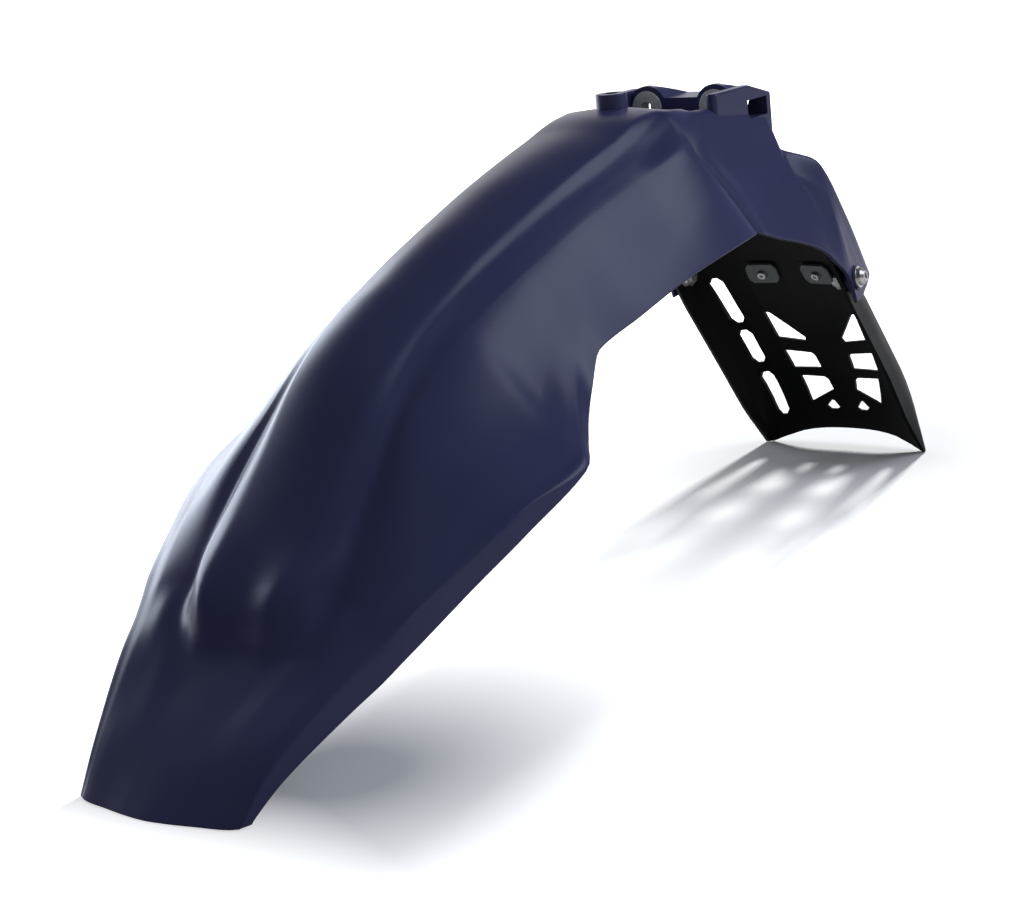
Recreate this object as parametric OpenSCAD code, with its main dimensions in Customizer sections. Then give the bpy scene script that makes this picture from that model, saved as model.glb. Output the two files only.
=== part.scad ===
// Front mudguard of an off-road motorcycle, with a vented rear flap.
// Units are millimetres. Nose towards -Y, +Z up, the guard stands on its nose edge and
// on the two lobes of the flap at z = 0, and x = 0 is the plane of symmetry.

/* [Overall] */
// length from the nose edge to the back of the flap
length = 708; // [680:4:736]
// height of the front boss above the ground
height = 278; // [266:2:290]
// wall of the moulded shell
wall = 2.6; // [2.2:0.2:3.2]

/* [Shell widths] */
// width across the nose edge
nose_w = 108; // [98:2:118]
// width across the two wing tips
wing_w = 236; // [224:2:248]
// width between the lower edges of the flanks
waist_w = 160; // [152:2:168]
// distance between the two creases beside the crown
crease_w = 82; // [76:1:88]
// width across the collar that holds the flap
collar_w = 133; // [128:1:138]

/* [Flap] */
// wall of the flap
flap_wall = 2.4; // [2:0.2:3]
// how far the flap reaches up inside the collar
flap_top = 166; // [160:1:172]
// depth of the bow across the flap
flap_bow = 9.5; // [7:0.5:12]
// height of the arch between the two lobes
foot_arch = 10; // [8:1:13]
// width of the long slots beside the edges
slot_w = 7.5; // [6:0.5:8]
// height of the top of the inner vents above the ground
vent_top = 102; // [94:1:108]

/* [Front boss] */
// diameter of the front boss
boss_d = 18.5; // [16:0.5:22]
// bore of the front boss
boss_bore = 8.4; // [6.4:0.2:9]
// distance of the front boss from the middle of the length
boss_y = 91; // [88:1:94]

/* [Rear mount] */
// distance between the two rear bores
mount_pitch = 48; // [44:1:52]
// height of the rear bores above the ground
mount_z = 259; // [257:0.5:261]
// bore of the metal sleeves
sleeve_bore = 8.4; // [6.4:0.2:9]
// outer diameter of the metal sleeves
sleeve_d = 12; // [11:0.5:13]
// outer diameter of the mount washers
mount_washer_d = 21; // [19:0.5:22]
// thickness of the mount washers
mount_washer_t = 1.4; // [1:0.2:2]
// thickness of the wall that the sleeves sit in
lug_wall = 8; // [6:0.5:10]

/* [Fasteners] */
// thread diameter of the side screws
side_thread = 6; // [5:0.5:6]
// head diameter of the side screws
side_head_d = 11; // [10:0.5:12]
// head height of the side screws
side_head_h = 4.2; // [3.4:0.2:5]
// outer diameter of the side washers
side_washer_d = 14; // [13:0.5:15]
// thickness of the side washers
side_washer_t = 1.2; // [1:0.2:1.8]
// thread diameter of the plate screws
plate_thread = 4; // [3:0.5:4.5]
// length of the clamp plates across the flap
plate_l = 22; // [20:1:24]
// height of the clamp plates
plate_h = 17; // [15:1:19]
// thickness of the clamp plates
plate_t = 2; // [1.6:0.2:2.6]

/* [Hidden] */

navy = "#2b2d4e";
black = "#161616";
steel = "#b9bcc0";
plate_grey = "#7d827c";

$fn = 48;

// The guide lines below are drawn for these sizes and scaled to the named ones.
drawn_length = 708;
drawn_height = 278;
drawn_nose = 108;
drawn_wing = 236;
drawn_waist = 160;
drawn_crease = 82;
drawn_collar = 133;
ky = length / drawn_length;
kz = height / drawn_height;
k_nose = nose_w / drawn_nose;
k_wing = wing_w / drawn_wing;
k_waist = waist_w / drawn_waist;
k_crease = crease_w / drawn_crease;
k_collar = collar_w / drawn_collar;

// small overlap of solids that belong to one moulding
weld = 0.6;
// running fit of a screw in its hole
hole_fit = 0.5;
// fit of a part that sits in a pocket
seat_fit = 0.15;

// Guide lines of the shell, each from the nose edge to the lower rim of the collar.
// centre line of the crown, the pocket and the collar
line_a = [
    [0, -354, 0], [0, -324, 27], [0, -285, 54], [0, -266, 67], [0, -244, 103],
    [0, -215, 147], [0, -177, 183], [0, -137, 204], [0, -118, 212.5], [0, -100, 220],
    [0, -82, 227], [0, -64, 233], [0, -20, 247], [0, 40, 262], [0, 86, 269.5], [0, 92, 269.5],
    [0, 98, 268.8], [0, 112, 264], [0, 132, 249], [0, 166, 247], [0, 198, 245], [0, 206, 229],
    [0, 233, 217], [0, 263, 176], [0, 290.5, 137]
];
// shoulder of the crown
line_b = [
    [16, -352.5, 0], [17, -324, 27], [22, -285, 54.5], [22, -266, 68], [23, -244, 100],
    [25, -215, 142], [26, -177, 178], [27, -137, 199], [27, -118, 208], [27, -100, 215.5],
    [27, -82, 222], [27, -64, 229], [28, -20, 243], [29, 40, 260], [28, 86, 268], [28, 92, 267.5],
    [28, 98, 267], [28, 112, 263], [27, 132, 249], [28, 166, 247], [28, 198, 245], [28, 206, 229],
    [28, 233, 217], [28, 261, 176], [28, 288.3, 137]
];
// crease beside the crown, then the lip of the mount pocket
line_c = [
    [30, -350, 0], [30, -324, 27], [34, -285, 58], [36, -266, 77], [38, -244, 99],
    [39, -215, 129], [40, -177, 156], [40, -137, 176], [40, -118, 184.5], [40, -100, 192],
    [41, -82, 199], [41, -64, 207], [42, -20, 224], [42, 40, 246], [41, 86, 261], [40, 91, 260.5],
    [39.7, 97, 260.8], [38, 112, 261.5], [37, 132, 261], [37, 166, 260], [37, 198, 257], [38, 206, 229],
    [44, 231, 216.5], [45.5, 258, 176], [46, 285, 136.5]
];
// ridge above the flank, then the corner of the collar
line_d = [
    [42, -348, 0], [44, -324, 26.5], [50, -285, 56], [54, -266, 73], [58, -244, 95],
    [58, -215, 127], [56, -177, 152], [55, -137, 173], [55, -118, 181], [55, -100, 187],
    [55, -82, 193], [55, -64, 199], [56, -20, 212.5], [57, 40, 231.5], [54, 86, 245], [52.5, 90, 244.5],
    [52.3, 96, 244.6], [49, 112, 244.5], [47, 134, 244], [45, 166, 243], [43.5, 191, 242], [46.5, 193, 230.5],
    [57, 228, 214], [59.5, 255.5, 176], [61, 278.5, 135]
];
// middle of the wing, then the upper part of the flank
line_m = [
    [48, -346.5, 0.5], [51, -324, 25.5], [62, -285, 55], [67, -266, 68.5], [73, -244, 86],
    [78, -215, 107], [83, -177, 127], [86, -137, 139], [80, -118, 150], [73, -100, 165],
    [68, -82, 177], [64, -64, 188.5], [63, -20, 201.5], [63, 40, 218.5], [58.5, 96, 231.5], [56.5, 100, 231],
    [57.1, 106, 231], [54, 122, 230], [52.5, 142, 228.5], [51, 174, 225.5], [50, 198, 222.5], [51.5, 203, 215],
    [60.5, 230, 198], [63.5, 249, 164], [65, 267, 129.5]
];
// shoulder of the wing, then the middle of the flank
line_e = [
    [52, -345, 1], [57, -324, 24], [72, -285, 53], [79, -266, 63.5], [88, -244, 78],
    [98, -215, 92.5], [109.5, -177, 110.5], [117, -137, 122], [104, -118, 133], [91, -100, 146],
    [80, -82, 161], [73, -64, 177], [70, -20, 190], [69, 40, 205], [63, 107, 217], [60, 111, 217],
    [61.2, 117, 216.5], [59, 133, 215], [58, 150, 212], [57, 182, 207], [56, 205, 203], [56.5, 212, 199],
    [64, 232, 180], [66.5, 242, 153], [67.5, 256, 125]
];
// free lower edge
line_f = [
    [53, -341, 0], [59.5, -322, 14], [74, -284, 37.5], [81, -266, 47.5], [88, -244, 60],
    [98, -212, 78.5], [109, -177, 98], [118, -137, 119], [108, -118, 127.5], [97, -100, 135.5],
    [88.5, -82, 147], [83, -64, 163.5], [81, -20, 171.5], [79, 40, 182], [71, 125, 189], [67.5, 128.5, 189],
    [69.3, 134.5, 187.7], [68, 145, 184.5], [68, 158, 180], [68, 189, 171], [68, 211, 162], [68.2, 223, 153.5],
    [68.6, 236, 142.5], [69, 243, 129.5], [69, 244.5, 123]
];
guides = [line_a, line_b, line_c, line_d, line_m, line_e, line_f];
last_guide = len(guides) - 1;
// guide line of the shoulder, which is rounded over this length
shoulder = 5;
shoulder_round = 8;
last_station = len(line_a) - 1;
// stations where the named widths take over from one another
nose_stations = 2;
wing_stations = 10;
waist_stations = 14;
// pieces that each span between two stations is cut into
spans = [3, 3, 2, 3, 3, 3, 3, 2, 2, 2, 2, 3, 3, 3, 1, 1, 2, 2, 2, 2, 2, 3, 3, 4];
// pieces between two guide lines across one half
across = [2, 2, 2, 2, 3, 2, 2];

function edge_scale(j) =
    j <= nose_stations ? k_nose : j <= wing_stations ? k_wing : j <= waist_stations ? k_waist : k_collar;
function inner_scale(j) = j <= nose_stations ? k_nose : j <= waist_stations ? k_crease : k_collar;
function scaled(p, k) = [p[0] * k, p[1] * ky, p[2] * kz];
function knot(g, j) =
    scaled(guides[g][j], g < 4 ? inner_scale(j) : g == 4 ? (inner_scale(j) + edge_scale(j)) / 2 : edge_scale(j));

// slope between the slopes a and b over the lengths h and k, 0 where the line turns back
function mean_slope(a, b, h, k) =
    a * b <= 0 ? 0 : 3 * (h + k) / ((2 * k + h) / a + (h + 2 * k) / b);
// slope of a smooth line through the points p at the marks t, which swings over nowhere
function slope_at(p, t, j) =
    j == 0 ? (p[1] - p[0]) / (t[1] - t[0]) :
    j == len(p) - 1 ? (p[j] - p[j - 1]) / (t[j] - t[j - 1]) :
    let (
        h = t[j] - t[j - 1],
        k = t[j + 1] - t[j],
        a = (p[j] - p[j - 1]) / h,
        b = (p[j + 1] - p[j]) / k
    )
    [for (c = [0:2]) mean_slope(a[c], b[c], h, k)];
// point on the smooth line, s from 0 to 1 between the points j and j + 1
function on_line(p, t, j, s) =
    let (w = t[j + 1] - t[j], a = 1 - s)
    p[j] * a * a * (1 + 2 * s) + slope_at(p, t, j) * w * s * a * a
    + p[j + 1] * s * s * (3 - 2 * s) - slope_at(p, t, j + 1) * w * s * s * a;
// running length along a list of points
function run_to(p, j) = j == 0 ? 0 : run_to(p, j - 1) + norm(p[j] - p[j - 1]);

knots = [for (g = [0:last_guide]) [for (j = [0:last_station]) knot(g, j)]];
mean_line = [for (j = [0:last_station]) (knots[1][j] + knots[3][j]) / 2];
marks = [for (j = [0:last_station]) run_to(mean_line, j)];
rows = concat(
    [for (j = [0:last_station - 1]) for (i = [0:spans[j] - 1]) [j, i / spans[j]]],
    [[last_station - 1, 1]]
);
cols = concat(
    [for (k = [0:last_guide]) for (i = [0:across[k] - 1]) [k, i / across[k]]],
    [[last_guide, 1]]
);
function flip(p) = [-p[0], p[1], p[2]];
// the points across one half, with one more just above the shoulder
function half_line(r) =
    let (
        p = [for (g = [0:last_guide]) on_line(knots[g], marks, r[0], r[1])],
        e = p[shoulder],
        m = p[shoulder - 1]
    )
    concat(
        [for (g = [0:shoulder - 1]) p[g]],
        [e + (m - e) * min(0.4, shoulder_round / norm(m - e))],
        [for (g = [shoulder:last_guide]) p[g]]
    );
// one cross line of the shell, from the left edge over the crown to the right edge
function cross_line(r) =
    let (
        half = half_line(r),
        n = len(half) - 1,
        full = concat([for (k = [n:-1:1]) flip(half[k])], half),
        t = [for (j = [0:2 * n]) run_to(full, j)],
        right = [for (c = cols) on_line(full, t, c[0] + n, c[1])]
    )
    concat([for (k = [len(right) - 1:-1:1]) flip(right[k])], right);
shell_grid = [for (r = rows) cross_line(r)];

// unit normal of a grid of points
function normal_at(g, i, j) =
    let (
        a = g[min(i + 1, len(g) - 1)][j] - g[max(i - 1, 0)][j],
        b = g[i][min(j + 1, len(g[0]) - 1)] - g[i][max(j - 1, 0)],
        n = cross(b, a)
    )
    n / norm(n);
function moved(g, d) =
    [for (i = [0:len(g) - 1]) [for (j = [0:len(g[0]) - 1]) g[i][j] + normal_at(g, i, j) * d]];

// closed sheet between two grids of the same shape
module sheet(outer, inner) {
    nr = len(outer);
    nc = len(outer[0]);
    total = nr * nc;
    points = concat([for (r = outer) each r], [for (r = inner) each r]);
    faces = concat(
        [for (i = [0:nr - 2]) for (j = [0:nc - 2]) each [
            [i * nc + j, (i + 1) * nc + j + 1, i * nc + j + 1],
            [i * nc + j, (i + 1) * nc + j, (i + 1) * nc + j + 1],
            [total + i * nc + j, total + i * nc + j + 1, total + (i + 1) * nc + j + 1],
            [total + i * nc + j, total + (i + 1) * nc + j + 1, total + (i + 1) * nc + j]
        ]],
        [for (j = [0:nc - 2]) each [
            [j, total + j + 1, total + j],
            [j, j + 1, total + j + 1],
            [(nr - 1) * nc + j, total + (nr - 1) * nc + j + 1, (nr - 1) * nc + j + 1],
            [(nr - 1) * nc + j, total + (nr - 1) * nc + j, total + (nr - 1) * nc + j + 1]
        ]],
        [for (i = [0:nr - 2]) each [
            [i * nc, total + (i + 1) * nc, (i + 1) * nc],
            [i * nc, total + i * nc, total + (i + 1) * nc],
            [i * nc + nc - 1, (i + 1) * nc + nc - 1, total + (i + 1) * nc + nc - 1],
            [i * nc + nc - 1, total + (i + 1) * nc + nc - 1, total + i * nc + nc - 1]
        ]]
    );
    polyhedron(points = points, faces = faces);
}

// height above which the flap is straight, its lean there, and the radius of the foot
flap_knee = 62;
flap_lean = 34.6;
foot_radius = 100;
foot_level = 5;
flap_back = 351.6;
knee_y = flap_back - foot_radius * (1 - cos(flap_lean));
// y of the front face of the flap on the centre line
function flap_y(z) =
    z > flap_knee ? knee_y - tan(flap_lean) * (z - flap_knee) :
    flap_back - foot_radius * (1 - sqrt(1 - pow((z - foot_level) / foot_radius, 2)));
// half width at the corner and at the free front edge of the side flange
corner_x_foot = 59;
corner_x_rim = 54.5;
rim_level = 134;
function corner_x(z) = corner_x_foot + (corner_x_rim - corner_x_foot) * z / rim_level;
flange_line = [
    [59, 339, 0], [60.3, 315, 27], [61.8, 290, 63], [61.8, 247, 120], [59.5, 218, 166], [58.5, 205, 186]
];
function flange_at(z, j = 0) =
    j == len(flange_line) - 2 || z < flange_line[j + 1][2] ?
    flange_line[j] + (flange_line[j + 1] - flange_line[j])
    * (z - flange_line[j][2]) / (flange_line[j + 1][2] - flange_line[j][2]) :
    flange_at(z, j + 1);
panel_part = 0.62;
function bow_at(x, z) = flap_bow * pow(x / corner_x(z), 2);
// marks across one half: panel, rounded corner, flange
flap_cols = [0, 0.2, 0.4, 0.6, 0.8, 1, 1.33, 1.67, 2, 2.35, 2.7, 3];
function flap_point(s, z) =
    let (
        xc = corner_x(z),
        xp = xc * panel_part,
        panel_end = [xp, flap_y(z) - bow_at(xp, z), z],
        corner = [xc, flap_y(z) - bow_at(xc, z), z],
        edge = [flange_at(z)[0], flange_at(z)[1], z],
        flange_start = corner + (edge - corner) * min(0.45, 18 / norm(edge - corner)),
        q = s - 1
    )
    s <= 1 ? [xp * s, flap_y(z) - bow_at(xp * s, z), z] :
    s <= 2 ? panel_end * (1 - q) * (1 - q) + corner * 2 * q * (1 - q) + flange_start * q * q :
    flange_start + (edge - flange_start) * (s - 2);
function flap_foot(s) =
    s >= 1.5 ? 0 : foot_arch * (1 - pow(s / 1.5, 3));
flap_rows = 16;
function flap_scaled(p) = [p[0] * k_collar, p[1] * ky, p[2] * kz];
flap_front = [for (i = [0:flap_rows]) concat(
    [for (k = [len(flap_cols) - 1:-1:1])
        flip(flap_scaled(flap_point(flap_cols[k],
            flap_top + (flap_foot(flap_cols[k]) - flap_top) * i / flap_rows)))],
    [for (s = flap_cols) flap_scaled(flap_point(s, flap_top + (flap_foot(s) - flap_top) * i / flap_rows))]
)];

// clamp plates: position on the front face of the flap, and their turn
plate_x = 20.5;
plate_z = 133.7;
plate_turn = atan(2 * flap_bow * plate_x / pow(corner_x(plate_z), 2));
plate_pitch = atan(tan(flap_lean) * ky / kz);
plate_at = flap_scaled([plate_x, flap_y(plate_z) - bow_at(plate_x, plate_z), plate_z]);
// z = 0 on the front face of the flap pad, +z into the flap, for one side of the guard
module at_plate(side) {
    translate([side * plate_at[0], plate_at[1], plate_at[2]])
    rotate([0, 0, -side * plate_turn])
    rotate([-(90 - plate_pitch), 0, 0])
    children();
}
// side screws: position on the front face of the flange
screw_level = 137;
screw_share = 2.42;
screw_at = flap_scaled(flap_point(screw_share, screw_level));
screw_along = flap_scaled(flap_point(3, screw_level)) - flap_scaled(flap_point(2, screw_level));
screw_up = flap_scaled(flap_point(screw_share, screw_level + 12))
    - flap_scaled(flap_point(screw_share, screw_level - 12));
screw_cross = cross(screw_up, screw_along);
screw_out = screw_cross[0] > 0 ? screw_cross / norm(screw_cross) : -screw_cross / norm(screw_cross);
screw_yaw = atan2(screw_out[1], screw_out[0]);
screw_pitch = asin(screw_out[2]);
// z = 0 on the inner face of the flange pad, +z outwards, for one side of the guard
module at_side(side) {
    mirror([side < 0 ? 1 : 0, 0, 0])
    translate(screw_at)
    rotate([0, 0, screw_yaw])
    rotate([0, 90 - screw_pitch, 0])
    children();
}
// pads that make a flat seat on the thin sheets
pad_rise = 0.5;
// how far the seats of the side washers stand out of the collar
seat_rise = 2.2;
// gap that the screws close between the pads of the flap and the seats of the shell
pad_gap = 0.1;
flap_pad_t = flap_wall + 2 * pad_rise;
collar_gap = 1.5;
side_seat = flap_pad_t + collar_gap + wall + seat_rise;
side_pad_d = side_washer_d + 2;

module flap_pads() {
    for (side = [-1, 1]) {
        at_plate(side)
            translate([0, 0, flap_pad_t / 2 - pad_rise])
            cube([plate_l + 3, plate_h + 3, flap_pad_t], center = true);
        at_side(side)
            translate([0, 0, -pad_rise])
            cylinder(h = flap_pad_t, d = side_pad_d);
    }
}
// everything under the ground
module ground() {
    translate([-wing_w / 2, -length / 2 - 10, -20])
        cube([wing_w, length + 20, 20]);
}
module screw_holes(side_d, plate_d) {
    for (side = [-1, 1]) {
        at_side(side)
            translate([0, 0, -12])
            cylinder(h = 40, d = side_d);
        at_plate(side)
            translate([0, 0, -6])
            cylinder(h = 6 + flap_pad_t + 5, d = plate_d);
    }
}

// vents of the flap, seen from the front, for the +x half
// each long slot: x and z of its lower end, x and z of its upper end
upper_slot = [[51.5, 94.5], [52.5, 130.5]];
middle_slot = [[51.5, 61.5], [51.7, 88.5]];
lower_slot = [[47.5, 19.6], [51.2, 53.6]];
module long_slot(ends) {
    h = slot_w / 2;
    low = ends[0];
    high = ends[1];
    polygon([
        low + [-h, h],
        low + [-h / 2, 0],
        low + [h / 2, 0],
        low + [h, h],
        high + [h, -h],
        high + [h / 2, 0],
        high + [-h / 2, 0],
        high + [-h, -h]
    ]);
}
// edges that the inner vents share, as x of the outer and inner edge
vent_out = 34.5;
vent_in = 12.5;
vent_middle = [56, 70];
vent_low = [29.3, 39, 49.5];
module vents_2d() {
    long_slot(upper_slot);
    long_slot(middle_slot);
    long_slot(lower_slot);
    // upper plain vent, a wedge
    polygon([
        [vent_out, vent_top],
        [vent_out - 4, vent_top - 1],
        [vent_in + 1, 81],
        [vent_in + 2, 78],
        [vent_out - 1, 81]
    ]);
    // middle vent
    polygon([
        [vent_out - 2, vent_middle[0]],
        [vent_out - 0.8, vent_middle[1] + 0.5],
        [vent_in + 2, vent_middle[1] - 1.8],
        [vent_in + 0.3, vent_middle[1] - 4],
        [vent_in - 0.5, vent_middle[0]]
    ]);
    // lower vent
    polygon([
        [vent_out - 7.5, vent_low[0]],
        [vent_out - 4.5, vent_low[2]],
        [vent_in, vent_low[2] - 0.8],
        [vent_in - 2.5, vent_low[2] - 3],
        [vent_in - 4, vent_low[1]]
    ]);
    // foot vent
    polygon([
        [vent_in + 4, 26],
        [vent_in - 0.5, 30.8],
        [vent_in - 2.5, 30.2],
        [vent_in - 6, 25.3],
        [vent_in - 3.5, 23.7],
        [vent_in + 1.5, 23.7]
    ]);
}

module vent_flap() {
    color(black)
    difference() {
        union() {
            sheet(moved(flap_front, flap_wall), flap_front);
            flap_pads();
        }
        ground();
        screw_holes(side_thread + hole_fit, plate_thread + hole_fit);
        for (side = [0, 1])
            mirror([side, 0, 0])
            scale([k_collar, 1, kz])
            translate([0, 420, 0])
            rotate([90, 0, 0])
            linear_extrude(height = 200)
            vents_2d();
    }
}

// block that carries the two sleeves, and the side walls that shield it
block_front = 166;
block_back = 203;
block_half = 37;
block_floor = 246;
saddle_z = 265;
arch_r = 13.5;
mount_x = mount_pitch / 2;
boss_top = height;
boss_foot = 264 * kz;
// side wall: inner and outer x, and the y of its round front end
side_wall_in = mount_x + mount_washer_d / 2 + 0.5;
side_wall_t = 7;
side_wall_y = 140;
side_wall_top = 270;
// the roof falls to the rear from this y at this angle
roof_y = 170;
roof_fall = 16;
roof_z = 272;
// room behind each sleeve, open to the side
room_l = 23;
room_low = 250;
room_top = 261;
room_in = 12;
// way in for the screws, through the rear wall of the rooms
access_d = 11;

// outline of the mount block seen from the front
module block_2d() {
    translate([-block_half, block_floor * kz])
        square([2 * block_half, (saddle_z - block_floor) * kz]);
    for (side = [-1, 1])
        translate([side * mount_x, mount_z * kz])
        circle(r = arch_r);
}
// outline of one side wall seen from above
module side_wall_2d() {
    translate([side_wall_in + side_wall_t / 2, side_wall_y * ky])
        circle(d = side_wall_t);
    translate([side_wall_in, side_wall_y * ky])
        square([side_wall_t, (block_back - side_wall_y) * ky]);
}
module mount_block() {
    difference() {
        union() {
            translate([0, block_back * ky, 0])
                rotate([90, 0, 0])
                linear_extrude(height = (block_back - block_front) * ky)
                block_2d();
            for (side = [0, 1])
                mirror([side, 0, 0])
                translate([0, 0, block_floor * kz])
                linear_extrude(height = (side_wall_top - block_floor) * kz)
                side_wall_2d();
        }
        // the roof falls to the rear
        translate([-60, roof_y * ky, roof_z * kz])
            rotate([-roof_fall, 0, 0])
            cube([120, 60, 30]);
    }
}
// rooms for the nuts, open to the side
module nut_rooms() {
    for (side = [0, 1])
        mirror([side, 0, 0])
        translate([room_in, block_front * ky + lug_wall, room_low * kz])
        cube([40, room_l, (room_top - room_low) * kz]);
}
module at_mount(side) {
    translate([side * mount_x, block_front * ky, mount_z * kz])
    rotate([90, 0, 0])
    children();
}

module fender_shell() {
    color(navy)
    difference() {
        union() {
            sheet(shell_grid, moved(shell_grid, -wall));
            mount_block();
            translate([0, boss_y * ky, boss_foot])
                cylinder(h = boss_top - boss_foot, d = boss_d);
            for (side = [-1, 1]) {
                at_side(side)
                    translate([0, 0, flap_pad_t - pad_rise + pad_gap])
                    cylinder(h = side_seat - flap_pad_t - pad_gap, d = side_pad_d);
                at_plate(side)
                    translate([0, 0, flap_pad_t - pad_rise + pad_gap])
                    cylinder(h = collar_gap + wall, d = plate_h - 4);
            }
        }
        nut_rooms();
        translate([0, boss_y * ky, boss_foot - 20])
            cylinder(h = 60, d = boss_bore);
        // the nose edge stands flat on the ground
        ground();
        screw_holes(side_thread + hole_fit, plate_thread + 0.1);
        for (side = [-1, 1])
            at_mount(side) {
                translate([0, 0, -lug_wall - 1])
                    cylinder(h = lug_wall + 2, d = sleeve_d + 2 * seat_fit);
                translate([0, 0, -lug_wall - 60])
                    cylinder(h = 60, d = access_d);
            }
    }
}

module mount_sleeve(side) {
    color(steel)
    at_mount(side)
    translate([0, 0, -lug_wall])
    difference() {
        cylinder(h = lug_wall + mount_washer_t + 0.8, d = sleeve_d);
        translate([0, 0, -1])
            cylinder(h = lug_wall + 20, d = sleeve_bore);
    }
}
module mount_washer(side) {
    color(steel)
    at_mount(side)
    difference() {
        cylinder(h = mount_washer_t, d = mount_washer_d);
        translate([0, 0, -1])
            cylinder(h = mount_washer_t + 2, d = sleeve_d + 2 * seat_fit);
    }
}

module side_screw(side) {
    shank = side_seat + side_washer_t + 7;
    color(steel)
    at_side(side)
    translate([0, 0, side_seat - pad_rise + side_washer_t])
    difference() {
        union() {
            translate([0, 0, -shank])
                cylinder(h = shank + weld, d = side_thread);
            cylinder(h = side_head_h * 0.45, d = side_head_d);
            translate([0, 0, side_head_h * 0.45])
                cylinder(h = side_head_h * 0.55, d1 = side_head_d, d2 = side_head_d * 0.62);
        }
        translate([0, 0, side_head_h * 0.4])
            cylinder(h = side_head_h, d = side_thread * 0.72, $fn = 6);
    }
}
module side_washer(side) {
    color(steel)
    at_side(side)
    translate([0, 0, side_seat - pad_rise])
    difference() {
        cylinder(h = side_washer_t, d = side_washer_d);
        translate([0, 0, -1])
            cylinder(h = side_washer_t + 2, d = side_thread + hole_fit);
    }
}
nut_h = 5;
module side_nut(side) {
    color(steel)
    at_side(side)
    translate([0, 0, -pad_rise - nut_h])
    difference() {
        union() {
            cylinder(h = nut_h, d = side_thread * 1.9, $fn = 6);
            translate([0, 0, nut_h - 1.2])
                cylinder(h = 1.2, d = side_thread * 2.2);
        }
        translate([0, 0, -1])
            cylinder(h = nut_h + 2, d = side_thread + 0.1);
    }
}
module plate_2d() {
    intersection() {
        square([plate_l, plate_h], center = true);
        circle(d = plate_l + 1.5);
    }
}
module plate(side) {
    color(plate_grey)
    at_plate(side)
    translate([0, 0, -pad_rise - plate_t])
    difference() {
        linear_extrude(height = plate_t)
            plate_2d();
        translate([0, 0, -1])
            cylinder(h = plate_t + 2, d = plate_thread + hole_fit);
    }
}
module plate_screw(side) {
    head_h = plate_thread * 0.55;
    color(steel)
    at_plate(side)
    translate([0, 0, -pad_rise - plate_t])
    difference() {
        union() {
            translate([0, 0, -head_h])
                cylinder(h = head_h, d1 = plate_thread * 1.4, d2 = plate_thread * 1.9);
            translate([0, 0, -weld])
                cylinder(h = weld + plate_t + flap_pad_t + 3.5, d = plate_thread);
        }
        translate([0, 0, -head_h - 1])
            cylinder(h = 1 + head_h * 0.6, d = plate_thread * 0.7, $fn = 6);
    }
}

fender_shell();
vent_flap();
plate(1);  // plate_left
plate(-1);  // plate_right
plate_screw(1);  // plate_screw_left
plate_screw(-1);  // plate_screw_right
side_screw(1);  // side_screw_left
side_screw(-1);  // side_screw_right
side_washer(1);  // side_washer_left
side_washer(-1);  // side_washer_right
side_nut(1);  // side_nut_left
side_nut(-1);  // side_nut_right
mount_sleeve(1);  // mount_sleeve_left
mount_sleeve(-1);  // mount_sleeve_right
mount_washer(1);  // mount_washer_left
mount_washer(-1);  // mount_washer_right
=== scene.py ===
"""Front mudguard of an off-road motorcycle: looks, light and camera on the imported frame."""
import math
import bpy
import bmesh
import numpy as np
from mathutils import Matrix, Vector


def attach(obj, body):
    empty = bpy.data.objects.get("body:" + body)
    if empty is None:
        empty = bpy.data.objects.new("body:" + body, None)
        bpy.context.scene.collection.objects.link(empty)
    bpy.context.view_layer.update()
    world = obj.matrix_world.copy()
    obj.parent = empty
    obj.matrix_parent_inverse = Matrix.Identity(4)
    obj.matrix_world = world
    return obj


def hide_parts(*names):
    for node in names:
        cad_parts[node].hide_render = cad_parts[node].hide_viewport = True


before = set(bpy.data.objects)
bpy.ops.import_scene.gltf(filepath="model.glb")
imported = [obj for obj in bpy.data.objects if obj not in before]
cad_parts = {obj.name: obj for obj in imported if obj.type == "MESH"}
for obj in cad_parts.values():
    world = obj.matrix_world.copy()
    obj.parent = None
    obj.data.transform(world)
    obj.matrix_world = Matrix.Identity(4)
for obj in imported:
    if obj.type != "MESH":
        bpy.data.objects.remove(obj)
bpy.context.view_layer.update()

MM = 0.001
MIRROR = np.array([-1.0, 1.0, 1.0])

# Camera: turned 37 degrees round the object from the nose, 14 degrees above the floor
CAMERA_TURN = math.radians(37.06)
CAMERA_DIP = math.radians(14.0)
CAMERA_ROLL = math.radians(5.96)
CAMERA_TARGET = np.array([0.0, -40.1, 95.7]) * MM
CAMERA_DISTANCE = 1340.79 * MM
CAMERA_LENS, SENSOR_WIDTH = 84.375, 36.0
CLIP_NEAR, CLIP_FAR = 0.05, 100.0

# Floor, in metres: its tone for diffuse light and for the rays that see it, how much of its
# glow glossy rays get, and the direction that its nap leans in
FLOOR_HALF, FLOOR_DROP = 30.0, 0.0004
FLOOR_TONE = (0.08, 0.08, 0.09, 1)
FLOOR_WHITE = (0.5, 0.5, 0.5, 1)
FLOOR_GLOSS = 0.35
FLOOR_NAP = (-0.1, 0.7, 0.7)
# The shadow, cast by the back lamp, with its dark core and fade painted into the floor's glow:
# the glow where it is darkest, the two feet with the distance at which the glow is full, the
# share of it that stays dark, and the y where the glow rises before the nose, which paints
# the shadow out there
FLOOR_GLOW = 0.05
SHADOW_FEET = [((0, 0.35, 0), 0.42), ((0.05, -0.27, 0), 0.2)]
SHADOW_DARK_TO = 0.15
SHADOW_FRONT = (-0.3, -0.38)

# World: the sky that gives light, and the backdrop that rays see: white where their
# direction lies this far along the view, and dark on the camera's side
SKY_LEVEL = 0.34
SKY_COLOR = (0.82, 0.88, 1.0, 1)
BACKDROP_FROM, BACKDROP_FULL, STUDIO_DARK = 0.72, 1.0, 0.05

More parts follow.
